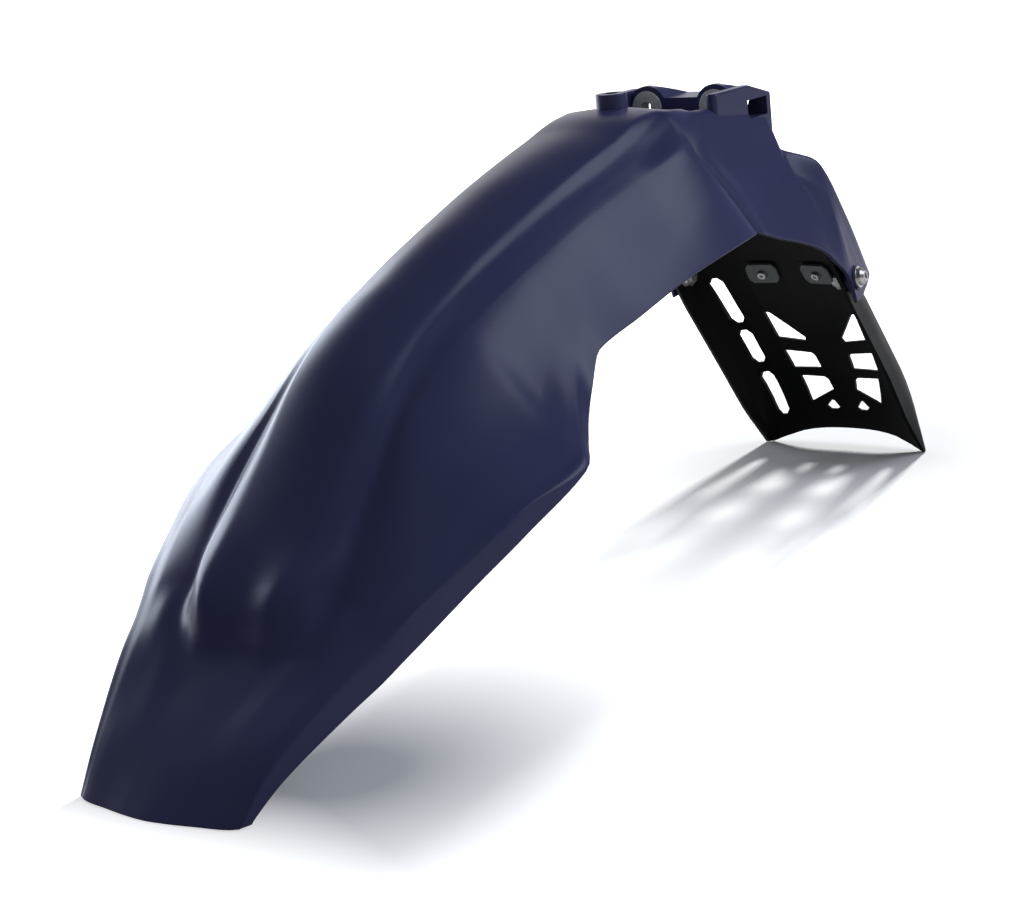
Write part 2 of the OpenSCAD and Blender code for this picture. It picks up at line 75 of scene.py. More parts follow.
# Lamps: name, direction from the point that they look at, distance, width and height in
# metres, watts, colour, and whether shiny surfaces show them
LAMP_AIM = (0, 0, 0.12)
PLAIN, COOL = (1.0, 1.0, 1.0), (0.8, 0.87, 1.0)
LAMPS = [
    ("back", (-0.14, 0.94, 0.31), 3.0, (0.3, 0.3), 115.0, PLAIN, False),
    ("right", (0.7, 0.45, 0.52), 2.2, (1.5, 1.5), 26.0, COOL, True),
    ("left", (-0.93, 0.2, 0.2), 1.9, (1.6, 1.0), 23.0, COOL, True)]

# Sizes in millimetres, as in the part's source: the sheets, then the front boss
WALL = 2.6
FLAP_WALL = 2.4
BOSS_Y, BOSS_TOP, BOSS_FOOT = 91.0, 278.0, 264.0
BOSS_D, BOSS_BORE = 18.5, 8.4
# mount block with its sleeves' seats, its side walls, its roof and the rooms in it
MOUNT_X, MOUNT_Z = 24.0, 259.0
SLEEVE_D, LUG_WALL, SEAT_FIT = 12.0, 8.0, 0.15
BLOCK_FRONT, BLOCK_BACK, BLOCK_HALF = 166.0, 203.0, 37.0
BLOCK_FLOOR, SADDLE_Z, ARCH_R = 246.0, 265.0, 13.5
SIDE_WALL_IN, SIDE_WALL_OUT, SIDE_WALL_Y, SIDE_WALL_TOP = 35.0, 42.0, 140.0, 270.0
ROOF_Y, ROOF_Z, ROOF_FALL = 170.0, 272.0, math.radians(16.06)
ROOM_IN, ROOM_OUT, ROOM_BACK, ROOM_LOW, ROOM_TOP = 12.0, 52.0, 197.0, 250.0, 261.0
ACCESS_D = 11.0
# flap: the lean above its knee, the circle of its foot, the bow of its panel, the lines of
# its corners and the free edge of its flange, from the foot up
FLAP_KNEE, FLAP_LEAN, FLAP_BACK = 62.0, math.radians(34.6), 351.6
FOOT_RADIUS, FLAP_BOW = 100.0, 9.5
CORNER_FOOT, CORNER_RIM, RIM_LEVEL = 59.0, 54.5, 134.0
CORNER_SHARE, CORNER_REACH = 0.45, 18.0
FLANGE_LINE = np.array([
    [59, 339, 0], [60.3, 315, 27], [61.8, 290, 63],
    [61.8, 247, 120], [59.5, 218, 166], [58.5, 205, 186]], float)
# plates and screws, with the seats that carry the flap
PLATE_X, PLATE_Z = 20.5, 133.7
SCREW_LEVEL, SCREW_SHARE, SLOPE_REACH = 137.0, 0.42, 12.0
PAD_RISE, PAD_GAP, COLLAR_GAP, SEAT_RISE = 0.5, 0.1, 1.5, 2.2
PAD_T = FLAP_WALL + 2 * PAD_RISE
SIDE_SEAT = PAD_T + COLLAR_GAP + WALL + SEAT_RISE
SIDE_SEAT_R, PLATE_SEAT_R = 8.0, 6.5
SIDE_HOLE_R, PLATE_HOLE_R = 3.25, 2.05

# Sizes in millimetres that only this file has: the grid of the sheet, its rounded rim, the
# eased chin, the rounded edges, and how far tools run into or past each other
ROW_STEP = 5.0
COLUMNS = [10, 10, 8, 8, 10, 12, 8, 12]
RIM_ROUND, RIM_STEPS = 0.9, 6
SHOULDER, SHOULDER_ROUND, SHOULDER_SHARE = 6, 8.0, 0.4
CHIN_ROWS, CHIN_COLS = 1.1, 1.2
CHIN_END, CHIN_FADE, CHIN_HALF = -205.0, 25.0, 55.0
BLOCK_ROUND, SIDE_WALL_ROUND, BOSS_ROUND = 1.0, 1.2, 0.8
WALL_SINK = 0.6
WALL_FOOT_X, WALL_FOOT_FROM, WALL_FOOT_TO = 0.4, 9.0, 0.8
WALL_FOOT_DOWN, WALL_FOOT_UP = 12.0, 1.0
ROOF_HALF, ROOF_LONG, ROOF_HIGH = 80.0, 90.0, 40.0
BORE_LOW, BORE_HIGH = 200.0, 320.0
HOLE_PAST, ACCESS_PAST = 2.0, 40.0
SIDE_HOLE_SPAN, PLATE_HOLE_SPAN = (-12.0, 24.0), (-6.0, 12.0)
# points closer than MERGE are joined, and faces that turn by less than FLAT become one
MERGE, FLAT = 0.002, math.radians(0.2)

# Guide lines of the shell in millimetres: stations from the nose edge to the collar's rim.
# Centre line of the crown, the pocket and the collar
LINE_A = [
    [0, -354, 0], [0, -324, 27], [0, -290, 50.5], [0, -279.5, 59], [0, -275, 75],
    [0, -247, 108.5], [0, -215, 142.5], [0, -177, 181.5], [0, -137, 205.3], [0, -118, 213.5],
    [0, -100, 221], [0, -82, 228], [0, -64, 234], [0, -20, 248], [0, 40, 262],
    [0, 86, 269.5], [0, 92, 269.5], [0, 98, 268.8], [0, 112, 264], [0, 132, 249],
    [0, 166, 247], [0, 198, 245], [0, 206, 229], [0, 233, 221], [0, 263, 176],
    [0, 290.5, 137]]
# upper side of the crown
LINE_B = [
    [16, -352.5, 0], [17, -324, 27], [20, -290, 50.5], [20, -281, 59.5], [20, -277, 80.5],
    [24, -247, 107.5], [24, -215, 139], [26, -177, 175.5], [27, -137, 198.7],
    [27, -118, 206.5], [27, -100, 214], [27, -82, 220.7], [27, -64, 227], [28, -20, 241],
    [29, 40, 257], [28, 86, 267.3], [28, 92, 267.5], [28, 98, 267], [28, 112, 263],
    [27, 132, 249], [28, 166, 247], [28, 198, 245], [28, 206, 229], [28, 233, 221],
    [28, 261, 176], [28, 288.3, 137]]
# shoulder of the crown, which ends in the chin of the bulge
LINE_S = [
    [23, -351.3, 0], [24, -324, 27], [32, -288, 52.6], [35, -274, 65.5], [33, -267, 87],
    [39, -243, 104.3], [38, -215, 129.5], [34, -177, 166.3], [33.5, -137, 193],
    [33.5, -118, 200.5], [33.5, -100, 207.5], [34, -82, 213.5], [34.5, -64, 219.5],
    [35.5, -20, 233], [36, 40, 248.7], [35, 86, 263.5], [34.5, 91.5, 266],
    [34.3, 97.5, 266.3], [33.5, 112, 265], [34, 132, 252.5], [34.3, 166, 250.5],
    [34.3, 198, 248.5], [33.5, 206, 229], [36.5, 232.3, 220], [37, 260, 176],
    [37, 286.8, 137]]
# crease beside the crown, then the lip of the mount pocket
LINE_C = [
    [30, -350, 0], [31, -324, 27], [42, -286, 54.8], [47, -267, 71], [46, -256, 78.5],
    [47, -244, 92], [45, -215, 123.5], [40, -177, 160.3], [40, -137, 187.3], [40, -118, 195.4],
    [40, -100, 202.6], [41, -82, 208.5], [41, -64, 214.5], [42, -20, 227.5], [42.5, 40, 242.5],
    [41, 86, 258], [40, 91, 261.5], [39.7, 97, 262.5], [38, 112, 263.3], [37, 132, 262],
    [37, 166, 260], [37, 198, 257], [38, 206, 229], [44, 231, 218.5], [45.5, 258, 176],
    [46, 285, 136.5]]
# ridge above the flank, then the corner of the collar
LINE_D = [
    [42, -348, 0], [44, -324, 26.5], [50, -285, 55.4], [55, -266, 72.5], [57, -256, 78.5],
    [56, -244, 90.5], [54, -215, 123], [46.5, -177, 158.5], [47, -137, 183],
    [47, -118, 190.5], [47, -100, 197.2], [47.5, -82, 203.3], [48, -64, 208.5],
    [48.5, -20, 221.3], [49.5, 40, 235], [54, 86, 245], [52.5, 90, 244.5], [52.3, 96, 246],
    [49.5, 112, 250], [47.5, 134, 248.7], [45.5, 166, 247], [42.8, 196, 245], [43.5, 201, 230],
    [57, 228, 215.5], [59.5, 255.5, 176], [61, 278.5, 135]]
# middle of the wing, then the upper part of the flank
LINE_M = [
    [47.8, -346.2, 0.3], [51, -324, 25.5], [62, -285, 55], [67, -266, 68.5], [70, -256, 77],
    [73, -244, 86.5], [78, -215, 109], [83, -177, 130.5], [87, -137, 143.5], [80, -118, 152],
    [73, -100, 165], [67, -82, 178], [62, -64, 190.3], [60.5, -20, 203], [61, 40, 216],
    [58.5, 96, 231.5], [56.5, 100, 231], [57.1, 106, 231], [54, 122, 230],
    [52.5, 142, 228.5], [51, 174, 225.5], [50, 198, 222.5], [51.5, 203, 215],
    [60.5, 230, 198], [63.5, 249, 164], [65, 267, 129.5]]
# shoulder of the wing, then the middle of the flank
LINE_E = [
    [52, -344, 0.5], [57, -324, 24], [72, -285, 53], [79, -266, 63.5], [83, -256, 70],
    [88, -244, 78], [98, -215, 92.5], [109.5, -177, 110.5], [117, -137, 122],
    [104, -118, 133], [91, -100, 146], [80, -82, 161], [73, -64, 176.5], [70, -20, 188.5],
    [69.5, 40, 201.5], [63, 107, 217], [60, 111, 217], [61.2, 117, 216.5], [59, 133, 215],
    [58, 150, 212], [57, 182, 207], [56, 205, 203], [56.5, 212, 199], [64, 232, 180],
    [66.5, 242, 153], [67.5, 256, 125]]
# free lower edge
LINE_F = [
    [54, -338.5, 0.4], [59.5, -322, 14], [74, -284, 37.5], [81, -266, 47.5],
    [84.5, -256, 53.5], [88, -244, 60], [98, -212, 78.5], [109, -177, 98], [118, -137, 119],
    [108, -118, 127.5], [97, -100, 135.5], [88.5, -82, 147], [83, -64, 163.5],
    [81, -20, 171.5], [79, 40, 182], [71, 125, 189], [67.5, 128.5, 189],
    [69.3, 134.5, 187.7], [68, 145, 184.5], [68, 158, 180], [68, 189, 171], [68, 211, 162],
    [68.2, 223, 153.5], [68.6, 236, 142.5], [69, 243, 129.5], [69, 244.5, 123]]
LINES = [LINE_A, LINE_B, LINE_S, LINE_C, LINE_D, LINE_M, LINE_E, LINE_F]


def slopes(p, t):
    """Slope at each point of the lines p at the marks t: the weighted harmonic mean of
    the two neighbouring slopes, and zero where they differ in sign."""
    step = np.diff(t, axis=0)[..., None]
    d = np.diff(p, axis=0) / step
    a, b, before, after = d[:-1], d[1:], step[:-1], step[1:]
    turns = a * b <= 0
    a = np.where(turns, 1.0, a)
    b = np.where(turns, 1.0, b)
    mean = 3 * (before + after) / ((2 * after + before) / a + (before + 2 * after) / b)
    return np.concatenate([d[:1], np.where(turns, 0.0, mean), d[-1:]])


def on_lines(p, t, seg, part):
    """Points at the share part of the segment seg of the cubic Hermite lines through p."""
    m = slopes(p, t)
    w = np.diff(t, axis=0)[seg][..., None]
    s = part[:, None, None]
    a = 1 - s
    return (p[seg] * a * a * (1 + 2 * s) + m[seg] * w * s * a * a
            + p[seg + 1] * s * s * (3 - 2 * s) - m[seg + 1] * w * s * s * a)


def run_lengths(p):
    """Running length along axis 0 of the points p."""
    step = np.linalg.norm(np.diff(p, axis=0), axis=-1)
    return np.concatenate([np.zeros_like(step[:1]), np.cumsum(step, axis=0)])


def cuts(counts):
    """Segment numbers and shares for a line cut counts[i] times in segment i."""
    seg = np.concatenate([np.full(n, i) for i, n in enumerate(counts)] + [[len(counts) - 1]])
    part = np.concatenate([np.arange(n) / n for n in counts] + [[1.0]])
    return seg.astype(int), part


def shell_surface(row_step, cols):
    """Outer surface of the shell as a grid: each guide line is a smooth line along the
    length, cut where the middle between crown and ridge is row_step further on. An extra
    point rounds the wing's shoulder. Each row is a smooth line across the nine points of one
    half and their mirror images, cut cols[i] times in its segment i."""
    knots = np.array(LINES, float).transpose(1, 0, 2)
    crown, ridge = LINES.index(LINE_B), LINES.index(LINE_D)
    marks = run_lengths((knots[:, crown] + knots[:, ridge]) / 2)
    counts = [max(2, int(round(w / row_step))) for w in np.diff(marks)]
    seg, part = cuts(counts)
    along = on_lines(knots, np.repeat(marks[:, None], len(LINES), axis=1), seg, part)
    e, m = along[:, SHOULDER], along[:, SHOULDER - 1]
    gap = np.linalg.norm(m - e, axis=-1, keepdims=True)
    extra = e + (m - e) * np.minimum(SHOULDER_SHARE, SHOULDER_ROUND / gap)
    half = np.concatenate([along[:, :SHOULDER], extra[:, None], along[:, SHOULDER:]], axis=1)
    full = np.concatenate([half[:, :0:-1] * MIRROR, half], axis=1).transpose(1, 0, 2)
    seg, part = cuts(cols)
    right = on_lines(full, run_lengths(full), seg + half.shape[1] - 1, part).transpose(1, 0, 2)
    return np.concatenate([right[:, :0:-1] * MIRROR, right], axis=1)


def eased(g, sigma_rows, sigma_cols):
    """The grid with each point replaced by a bell-weighted mean of its neighbours, which
    rounds hard folds; the margins are mirrored through the edge points, so edges stay."""
    for axis, sigma in ((0, sigma_rows), (1, sigma_cols)):
        n = int(math.ceil(3 * sigma))
        w = np.exp(-0.5 * (np.arange(-n, n + 1) / sigma) ** 2)
        w /= w.sum()
        a = np.moveaxis(g, axis, 0)
        head = 2 * a[:1] - a[n:0:-1]
        tail = 2 * a[-1:] - a[-2:-n - 2:-1]
        long = np.concatenate([head, a, tail])
        out = sum(w[i] * long[i:i + len(a)] for i in range(2 * n + 1))
        g = np.moveaxis(out, 0, axis)
    return g


def normals(g):
    """Unit normals of a grid: the cross product of its steps along the columns and rows."""
    n = np.cross(np.gradient(g, axis=1), np.gradient(g, axis=0))
    return n / np.linalg.norm(n, axis=-1, keepdims=True)


def skin(outer, inner, rim):
    """Points and quads of the closed sheet between two grids of one shape. The edge points
    of both grids are drawn back by rim, and a half ellipse that bulges out by rim again
    joins the two along the whole border."""
    outer, inner = outer.copy(), inner.copy()
    nr, nc = outer.shape[:2]
    total = nr * nc
    loop = [(0, j) for j in range(nc - 1)] + [(i, nc - 1) for i in range(nr - 1)]
    loop += [(nr - 1, j) for j in range(nc - 1, 0, -1)] + [(i, 0) for i in range(nr - 1, 0, -1)]
    i, j = np.array(loop).T
    out = outer[i, j] - outer[np.clip(i, 1, nr - 2), np.clip(j, 1, nc - 2)]
    out /= np.linalg.norm(out, axis=-1, keepdims=True)
    outer[i, j] -= out * rim
    inner[i, j] -= out * rim
    mid = (outer[i, j] + inner[i, j]) / 2
    half = (outer[i, j] - inner[i, j]) / 2
    n = len(loop)
    bands = []
    for k in range(1, RIM_STEPS):
        turn = math.pi * k / RIM_STEPS
        bands.append(mid + half * math.cos(turn) + out * rim * math.sin(turn))
    points = np.concatenate([outer.reshape(-1, 3), inner.reshape(-1, 3)] + bands)
    ii, jj = np.meshgrid(np.arange(nr - 1), np.arange(nc - 1), indexing="ij")
    a = (ii * nc + jj).ravel()
    top = np.stack([a, a + 1, a + nc + 1, a + nc], axis=1)
    low = np.stack([a, a + nc, a + nc + 1, a + 1], axis=1) + total
    rings = ([i * nc + j] + [2 * total + k * n + np.arange(n) for k in range(RIM_STEPS - 1)]
             + [total + i * nc + j])
    strips = []
    for first, second in zip(rings[:-1], rings[1:]):
        strips.append(np.stack([first, second, np.roll(second, -1), np.roll(first, -1)], axis=1))
    return points, np.concatenate([top, low] + strips)


def new_object(name, points, faces):
    """An object from points in millimetres and a list of faces, linked to the scene."""
    mesh = bpy.data.meshes.new(name)
    mesh.from_pydata((np.asarray(points) * MM).tolist(), [], [list(map(int, f)) for f in faces])
    mesh.validate()
    mesh.update()
    piece = bpy.data.objects.new(name, mesh)
    bpy.context.scene.collection.objects.link(piece)
    return piece


def prism(outline, low, high):
    """A closed prism: the outline in the plane of x and y, from low to high along z."""
    outline = np.asarray(outline, float)
    n = len(outline)
    points = np.concatenate([np.c_[outline, np.full(n, low)], np.c_[outline, np.full(n, high)]])
    i = np.arange(n)
    j = (i + 1) % n
    faces = [list(i[::-1]), list(i + n)] + np.stack([i, j, j + n, i + n], axis=1).tolist()
    return points, faces


def prism_tool(name, outline, low, high, place=None):
    """A prism that a Boolean joins or cuts out, moved by the function place, with its
    normals turned outwards."""
    points, faces = prism(outline, low, high)
    tool = new_object(name, points if place is None else place(points), faces)
    bm = bmesh.new()
    bm.from_mesh(tool.data)
    bmesh.ops.recalc_face_normals(bm, faces=bm.faces[:])
    bm.to_mesh(tool.data)
    bm.free()
    return tool


def circle(cx, cy, r, n, start=0.0, end=360.0):
    """Points of an arc of a circle."""
    t = np.radians(np.linspace(start, end, n, endpoint=end - start < 360))
    return np.stack([cx + r * np.cos(t), cy + r * np.sin(t)], axis=1)


def rectangle(x0, x1, y0, y1):
    """Corners of a rectangle."""
    return [[x0, y0], [x1, y0], [x1, y1], [x0, y1]]


def round_tool(name, cx, cy, r, low, high, n=64, place=None):
    """A plain round tool."""
    return prism_tool(name, circle(cx, cy, r, n), low, high, place)


def upright(points):
    """Turns an outline drawn in x and z, extruded along y, into place."""
    return np.stack([points[:, 0], points[:, 2], points[:, 1]], axis=1)


def turn_about(axis, angle):
    """The 3 x 3 matrix of a turn about the axis 0, 1 or 2."""
    i, j = (axis + 1) % 3, (axis + 2) % 3
    turn = np.eye(3)
    turn[i, i] = turn[j, j] = math.cos(angle)
    turn[i, j], turn[j, i] = -math.sin(angle), math.sin(angle)
    return turn


def moved_to(place, turn):
    """A function that turns points by the 3 x 3 matrix and then moves them to place."""
    return lambda points: points @ turn.T + place


def applied(piece):
    """The piece with its modifiers worked into its mesh."""
    dg = bpy.context.evaluated_depsgraph_get()
    mesh = bpy.data.meshes.new_from_object(piece.evaluated_get(dg))
    old = piece.data
    piece.modifiers.clear()
    piece.data = mesh
    bpy.data.meshes.remove(old)


def combine(piece, tools, how):
    """Joins tools to the piece or cuts them out of it, then removes them."""
    for tool in tools:
        mod = piece.modifiers.new("tool", "BOOLEAN")
        mod.operation = how
        mod.solver = "MANIFOLD"
        mod.object = tool
    applied(piece)
    for tool in tools:
        bpy.data.objects.remove(tool, do_unlink=True)


def round_edges(piece, width, steps, least):
    """Rounds the edges of the piece where its faces meet at more than least degrees."""
    mod = piece.modifiers.new("rounding", "BEVEL")
    mod.width = width * MM
    mod.segments = steps
    mod.limit_method = "ANGLE"
    mod.angle_limit = math.radians(least)
    applied(piece)


def soft_shade(piece, sharp):
    """Smooth shading with the edges over sharp degrees kept crisp, and normals weighted by
    face area, so that flats look flat beside rounded edges."""
    mesh = piece.data
    mesh.polygons.foreach_set("use_smooth", [True] * len(mesh.polygons))
    bm = bmesh.new()
    bm.from_mesh(mesh)
    limit = math.radians(sharp)
    for edge in bm.edges:
        if len(edge.link_faces) == 2 and edge.calc_face_angle(0) > limit:
            edge.smooth = False
    bm.to_mesh(mesh)
    bm.free()
    mod = piece.modifiers.new("shading", "WEIGHTED_NORMAL")
    mod.keep_sharp = True
    applied(piece)


def paint(piece, material):
    """The piece in one material."""
    piece.data.materials.clear()
    piece.data.materials.append(material)
    for face in piece.data.polygons:
        face.material_index = 0


class Finish:
    """A node material with a Principled shader, and helpers that wire its nodes."""

    def __init__(self, name, color, roughness, metallic=0.0, **sockets):
        self.material = bpy.data.materials.new(name)
        self.material.use_nodes = True
        self.tree = self.material.node_tree
        self.shader = self.tree.nodes["Principled BSDF"]
        self.shader.inputs["Base Color"].default_value = (*color, 1)
        self.shader.inputs["Roughness"].default_value = roughness
        self.shader.inputs["Metallic"].default_value = metallic
        for key, value in sockets.items():
            self.shader.inputs[key.replace("_", " ")].default_value = value
        self.coords = self.tree.nodes.new("ShaderNodeTexCoord")

    def noise(self, scale, detail):
        """Noise over the object's own coordinates."""
        node = self.tree.nodes.new("ShaderNodeTexNoise")
        node.inputs["Scale"].default_value = scale
        node.inputs["Detail"].default_value = detail
        self.tree.links.new(self.coords.outputs["Object"], node.inputs["Vector"])
        return node.outputs["Fac"]

    def tone(self, scale, detail, dark, light):
        """A base colour that wanders between two tones."""
        value = self.noise(scale, detail)
        node = self.tree.nodes.new("ShaderNodeValToRGB")
        for element, place, color in zip(node.color_ramp.elements, (0.3, 0.7), (dark, light)):
            element.position = place
            element.color = (*color, 1)
        self.tree.links.new(value, node.inputs["Fac"])
        self.tree.links.new(node.outputs["Color"], self.shader.inputs["Base Color"])

    def gloss(self, scale, low, high):
        """A roughness that wanders from low to high."""
        value = self.noise(scale, 3.0)
        node = self.tree.nodes.new("ShaderNodeMapRange")
        node.inputs["To Min"].default_value = low
        node.inputs["To Max"].default_value = high
        self.tree.links.new(value, node.inputs["Value"])
        self.tree.links.new(node.outputs["Result"], self.shader.inputs["Roughness"])

    def bump(self, scale, strength, distance, before=None):
        """A noisy bump, on top of an earlier one."""
        value = self.noise(scale, 2.0)
        node = self.tree.nodes.new("ShaderNodeBump")
        node.inputs["Strength"].default_value = strength
        node.inputs["Distance"].default_value = distance
        self.tree.links.new(value, node.inputs["Height"])
        if before is not None:
            self.tree.links.new(before, node.inputs["Normal"])
        self.tree.links.new(node.outputs["Normal"], self.shader.inputs["Normal"])
        return node.outputs["Normal"]


def shell_finish():
    """Dark blue moulded plastic: satin, slightly uneven in gloss, with a faint ripple."""
    f = Finish("shell plastic", (0.039, 0.042, 0.106), 0.36, Specular_IOR_Level=0.25)
    f.tone(9.0, 4.0, (0.036, 0.038, 0.099), (0.042, 0.045, 0.113))
    f.gloss(40.0, 0.27, 0.36)
    ripple = f.bump(55.0, 0.05, 0.001)
    f.bump(1500.0, 0.06, 0.0001, ripple)
    return f.material


def flap_finish():
    """Near black moulded plastic with a fine grain."""
    f = Finish("flap plastic", (0.004, 0.004, 0.004), 0.42, Specular_IOR_Level=0.15)
    f.tone(20.0, 4.0, (0.003, 0.003, 0.003), (0.005, 0.005, 0.0052))
    f.gloss(60.0, 0.38, 0.5)
    f.bump(1800.0, 0.12, 0.0001)
    return f.material


def plate_finish():
    """Dull grey zinc with faint blotches."""
    f = Finish("grey zinc", (0.3, 0.32, 0.29), 0.5, 0.2)
    f.tone(300.0, 4.0, (0.26, 0.28, 0.25), (0.34, 0.36, 0.32))
    f.gloss(600.0, 0.42, 0.6)
    f.bump(2500.0, 0.08, 0.0001)
    return f.material


def steel_finish():
    """Bright zinc-plated steel with a fine grain."""
    f = Finish("plated steel", (0.62, 0.62, 0.6), 0.3, 1.0)
    f.tone(900.0, 3.0, (0.55, 0.55, 0.53), (0.7, 0.7, 0.68))
    f.gloss(700.0, 0.24, 0.38)
    f.bump(3000.0, 0.05, 0.0001)
    return f.material


def ring_finish():
    """Pale aluminium, dulled to a light grey."""
    f = Finish("dull aluminium", (0.66, 0.68, 0.6), 0.45, 0.3)
    f.tone(500.0, 3.0, (0.62, 0.64, 0.56), (0.7, 0.72, 0.64))
    f.gloss(900.0, 0.38, 0.52)
    f.bump(2500.0, 0.05, 0.0001)
    return f.material


NAVY = shell_finish()
BLACK = flap_finish()
ZINC = plate_finish()
STEEL = steel_finish()
RING = ring_finish()


def block_outline():
    """Front view of the mount block: two round arches with a saddle between them."""
    side = math.degrees(math.asin((BLOCK_HALF - MOUNT_X) / ARCH_R))
    inner = math.degrees(math.asin((SADDLE_Z - MOUNT_Z) / ARCH_R))
    arch = circle(MOUNT_X, MOUNT_Z, ARCH_R, 40, -(90 - side), 180 - inner)
    right = np.concatenate([[[BLOCK_HALF, BLOCK_FLOOR]], arch])
    return np.concatenate([right, right[::-1] * MIRROR[:2]])


def roof_cut():
    """Everything above the roof, which falls to the rear."""
    place = moved_to([0, ROOF_Y, ROOF_Z], turn_about(0, -ROOF_FALL))
    return prism_tool("roof", rectangle(-ROOF_HALF, ROOF_HALF, 0, ROOF_LONG), 0, ROOF_HIGH, place)


def mount_block():
    """The block for the two sleeves, the side walls that shield it, and the feet that fill
    the corners between the walls and the sheet at the back."""
    block = prism_tool("block", block_outline(), BLOCK_FRONT, BLOCK_BACK, upright)
    combine(block, [roof_cut()], "DIFFERENCE")
    round_edges(block, BLOCK_ROUND, 3, 30.0)
    pieces = [block]
    middle, radius = (SIDE_WALL_IN + SIDE_WALL_OUT) / 2, (SIDE_WALL_OUT - SIDE_WALL_IN) / 2
    back = BLOCK_BACK - WALL_SINK
    front = circle(middle, SIDE_WALL_Y, radius, 24, 180, 359.9)
    outline = np.concatenate([front, [[SIDE_WALL_OUT, back], [SIDE_WALL_IN, back]]])
    for side in (1, -1):
        wall = prism_tool("side wall", outline * [side, 1.0], BLOCK_FLOOR - WALL_SINK,
                          SIDE_WALL_TOP)
        combine(wall, [roof_cut()], "DIFFERENCE")
        round_edges(wall, SIDE_WALL_ROUND, 3, 50.0)
        foot = rectangle(side * SIDE_WALL_IN, side * (SIDE_WALL_OUT - WALL_FOOT_X),
                         BLOCK_BACK - WALL_FOOT_FROM, BLOCK_BACK - WALL_FOOT_TO)
        pieces += [wall, prism_tool("wall foot", foot, BLOCK_FLOOR - WALL_FOOT_DOWN,
                                    BLOCK_FLOOR + WALL_FOOT_UP)]
    return pieces


def corner_x(z):
    """Distance of the flap's corner line from the middle at the height z."""
    return CORNER_FOOT + (CORNER_RIM - CORNER_FOOT) * z / RIM_LEVEL


def panel_y(x, z):
    """Front face of the flap's panel above its knee: it leans forward in a straight line,
    and a parabola bows it between the corner lines."""
    knee_y = FLAP_BACK - FOOT_RADIUS * (1 - math.cos(FLAP_LEAN))
    return knee_y - math.tan(FLAP_LEAN) * (z - FLAP_KNEE) - FLAP_BOW * (x / corner_x(z)) ** 2


def flange_point(share, z):
    """A point of the flap's straight flange at the height z, from the end of the rounded
    corner at share 0 to the free edge at share 1."""
    corner = np.array([corner_x(z), panel_y(corner_x(z), z), z])
    edge = np.array([np.interp(z, FLANGE_LINE[:, 2], FLANGE_LINE[:, 0]),
                     np.interp(z, FLANGE_LINE[:, 2], FLANGE_LINE[:, 1]), z])
    gap = np.linalg.norm(edge - corner)
    start = corner + (edge - corner) * min(CORNER_SHARE, CORNER_REACH / gap)
    return start + (edge - start) * share


def plate_frame(side):
    """Place and turn of a clamp plate: its z axis points into the flap."""
    yaw = -side * math.atan(2 * FLAP_BOW * PLATE_X / corner_x(PLATE_Z) ** 2)
    tip = -(math.pi / 2 - FLAP_LEAN)
    place = [side * PLATE_X, panel_y(PLATE_X, PLATE_Z), PLATE_Z]
    return moved_to(place, turn_about(2, yaw) @ turn_about(0, tip))


def side_frame(side):
    """Place and turn of a side screw: its z axis points out of the flange."""
    place = flange_point(SCREW_SHARE, SCREW_LEVEL)
    along = flange_point(1, SCREW_LEVEL) - flange_point(0, SCREW_LEVEL)
    up = (flange_point(SCREW_SHARE, SCREW_LEVEL + SLOPE_REACH)
          - flange_point(SCREW_SHARE, SCREW_LEVEL - SLOPE_REACH))
    out = np.cross(up, along)
    out /= np.linalg.norm(out) * (1 if out[0] > 0 else -1)
    yaw, pitch = math.atan2(out[1], out[0]), math.pi / 2 - math.asin(out[2])
    turn = np.diag([side, 1.0, 1.0]) @ turn_about(2, yaw) @ turn_about(1, pitch)
    return moved_to(place * [side, 1, 1], turn)


def shell_additions():
    """The mount block, the side walls, the front boss and the seats for the flap."""
    pieces = mount_block()
    boss = round_tool("boss", 0, BOSS_Y, BOSS_D / 2, BOSS_FOOT, BOSS_TOP)
    round_edges(boss, BOSS_ROUND, 3, 50.0)
    pieces.append(boss)
    start = PAD_T - PAD_RISE + PAD_GAP
    for side in (1, -1):
        pieces.append(round_tool("side seat", 0, 0, SIDE_SEAT_R, start, SIDE_SEAT - PAD_RISE,
                                 48, side_frame(side)))
        pieces.append(round_tool("plate seat", 0, 0, PLATE_SEAT_R, start,
                                 start + COLLAR_GAP + WALL, 48, plate_frame(side)))
    return pieces


def shell_holes():
    """The bore of the boss, and on each side the room behind the sleeve, the sleeve's hole,
    the way in through the back wall and the two screw holes."""
    holes = [round_tool("boss bore", 0, BOSS_Y, BOSS_BORE / 2, BORE_LOW, BORE_HIGH)]
    room_front = BLOCK_FRONT + LUG_WALL
    for side in (1, -1):
        room = rectangle(side * ROOM_IN, side * ROOM_OUT, room_front, ROOM_BACK)
        holes += [
            prism_tool("room", room, ROOM_LOW, ROOM_TOP),
            round_tool("sleeve hole", side * MOUNT_X, MOUNT_Z, SLEEVE_D / 2 + SEAT_FIT,
                       BLOCK_FRONT - HOLE_PAST, room_front + HOLE_PAST, 48, upright),
            round_tool("way in", side * MOUNT_X, MOUNT_Z, ACCESS_D / 2,
                       room_front + 1, BLOCK_BACK + ACCESS_PAST, 48, upright),
            round_tool("side hole", 0, 0, SIDE_HOLE_R, *SIDE_HOLE_SPAN, 32, side_frame(side)),
            round_tool("plate hole", 0, 0, PLATE_HOLE_R, *PLATE_HOLE_SPAN, 32,
                       plate_frame(side))]
    return holes


